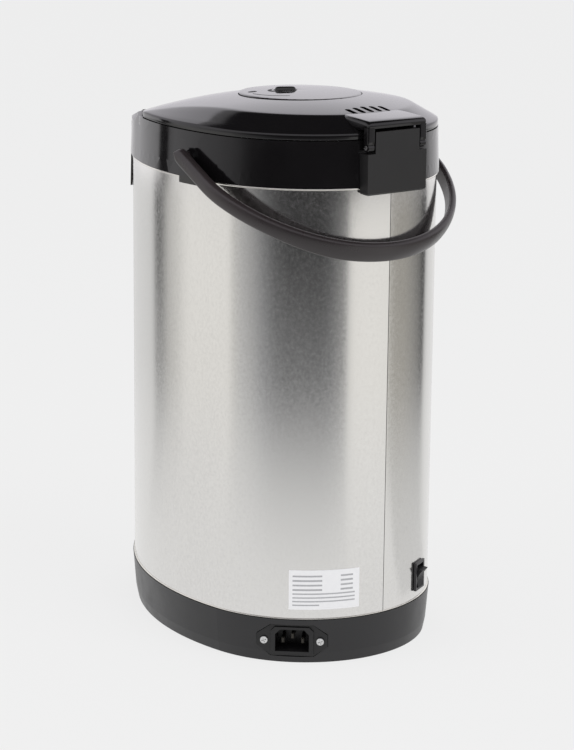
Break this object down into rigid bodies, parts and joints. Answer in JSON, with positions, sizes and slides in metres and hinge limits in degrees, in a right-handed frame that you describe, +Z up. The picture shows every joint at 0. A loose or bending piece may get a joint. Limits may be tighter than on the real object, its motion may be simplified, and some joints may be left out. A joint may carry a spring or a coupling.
{
  "type": "electric thermo pot",
  "caption": "Tall hot-water dispenser with an egg-shaped steel body, hinged domed lid, pump plate, folding bail handle, spout head, mains inlet and power switch.",
  "frame": {"origin": "middle of the bounding box in plan, on the surface that the rubber feet stand on", "axes": "+Z up; +Y towards the lid hinge at the back; -Y towards the spout; +X is the side with the mains inlet"},
  "size_m": [0.21, 0.3001, 0.3972],
  "materials": {
    "steel_jacket": "satin, fine vertical grain",
    "gloss_black": "polished moulding",
    "satin_black": "satin moulding",
    "base_black": "fine mould texture",
    "fitting_black": "satin moulding",
    "rocker_black": "semi-gloss moulding",
    "knob_black": "satin moulding",
    "hinge_grey": "fine spark-eroded texture",
    "handle_brown": "satin moulding, soft edges",
    "pot_steel": "drawn stainless sheet",
    "screw_steel": "nickel-plated",
    "contact_metal": "nickel-plated blades",
    "spring_steel": "drawn wire",
    "label_white": "plain printed film with ruled lines",
    "silicone": "soft translucent",
    "foot_rubber": "matt",
    "clear_plastic": "clear moulding",
    "lens_amber": "clear tinted lens",
    "button_grey": "smooth moulding",
    "board_green": "solder-resist board",
    "heater_metal": "mica band in a metal sleeve",
    "white_plastic": "natural moulding",
    "motor_can": "zinc-plated can",
    "lead_red": "soft insulation"
  },
  "bodies": {
    "root": {"base_shell": "satin_black", "base_plate": "base_black", "rubber_feet": "foot_rubber", "base_screws": "screw_steel", "inlet_body": "fitting_black", "inlet_pins": "contact_metal", "inlet_screws": "screw_steel", "steel_jacket": "steel_jacket", "rating_label": "label_white", "switch_bezel": "fitting_black", "top_ring": "gloss_black", "hinge_block": "hinge_grey", "hinge_pin": "screw_steel", "head_cover": "gloss_black", "front_panel": "gloss_black", "gauge_window": "clear_plastic", "gauge_tube": "clear_plastic", "outlet_elbow": "white_plastic", "spout_nozzle": "fitting_black", "lever_pin": "fitting_black", "button_springs": "spring_steel", "indicator_lenses": "lens_amber", "control_board": "board_green", "handle_clips": "screw_steel", "inner_pot": "pot_steel", "pot_seal": "silicone", "band_heater": "heater_metal", "heater_plate": "heater_metal", "thermostat": "white_plastic", "thermal_fuse": "white_plastic", "pot_bracket": "pot_steel", "pump_housing": "white_plastic", "pump_motor": "motor_can", "suction_hose": "silicone", "riser_hose": "silicone", "power_board": "board_green", "wiring": "lead_red"},
    "lid": {"lid_shell": "gloss_black", "lid_inner_cover": "pot_steel", "lid_gasket": "silicone", "air_valve": "white_plastic", "bellows": "silicone", "pump_spring": "spring_steel", "latch_spring": "spring_steel"},
    "pump": {"pump_plate": "gloss_black"},
    "lock": {"lock_knob": "knob_black"},
    "latch": {"lid_latch": "fitting_black"},
    "bail": {"handle": "handle_brown"},
    "rocker": {"switch_rocker": "rocker_black"},
    "dispense": {"dispense_button": "button_grey"},
    "reboil": {"reboil_button": "button_grey"},
    "lever": {"cup_lever": "fitting_black"},
    "rotor": {"impeller": "white_plastic"}
  },
  "joints": [
    {"name": "lid_hinge", "type": "hinge", "parent": "root", "child": "lid", "pos_m": [0, 0.14184, 0.3676], "axis": [-1, 0, 0], "range_deg": [0, 85]},
    {"name": "pump_press", "type": "slide", "parent": "lid", "child": "pump", "axis": [0, 0, 1], "range_m": [-0.018, 0], "stiffness_N_per_m": 250, "springref_m": 0.008, "deforming": ["bellows", "pump_spring"]},
    {"name": "lock_turn", "type": "hinge", "parent": "pump", "child": "lock", "pos_m": [0.0095, 0.03244, 0.39], "axis": [0, 0, 1], "range_deg": [0, 90]},
    {"name": "latch_slide", "type": "slide", "parent": "lid", "child": "latch", "axis": [0, 1, 0], "range_m": [0, 0.005], "stiffness_N_per_m": 300, "springref_m": -0.003, "deforming": ["latch_spring"]},
    {"name": "handle_swing", "type": "hinge", "parent": "root", "child": "bail", "pos_m": [0, 0.03494, 0.3545], "axis": [1, 0, 0], "range_deg": [0, 182]},
    {"name": "rocker_tilt", "type": "hinge", "parent": "root", "child": "rocker", "pos_m": [-0.03922, 0.12594, 0.0502], "axis": [-0.8957, -0.4446, 0], "range_deg": [-24, 0]},
    {"name": "dispense_press", "type": "slide", "parent": "root", "child": "dispense", "axis": [0, -0.2595, 0.9657], "range_m": [-0.002, 0], "stiffness_N_per_m": 300, "springref_m": 0.001, "deforming": ["button_springs"]},
    {"name": "reboil_press", "type": "slide", "parent": "root", "child": "reboil", "axis": [0, -0.2595, 0.9657], "range_m": [-0.002, 0], "stiffness_N_per_m": 300, "springref_m": 0.001, "deforming": ["button_springs"]},
    {"name": "cup_lever_push", "type": "hinge", "parent": "root", "child": "lever", "pos_m": [0, -0.13676, 0.309], "axis": [1, 0, 0], "range_deg": [0, 8], "stiffness_Nm_per_rad": 0.05, "springref_deg": -11.46},
    {"name": "impeller_spin", "type": "hinge", "parent": "root", "child": "rotor", "pos_m": [0, -0.07856, 0.034], "axis": [0, 0, 1], "continuous": true}
  ]
}
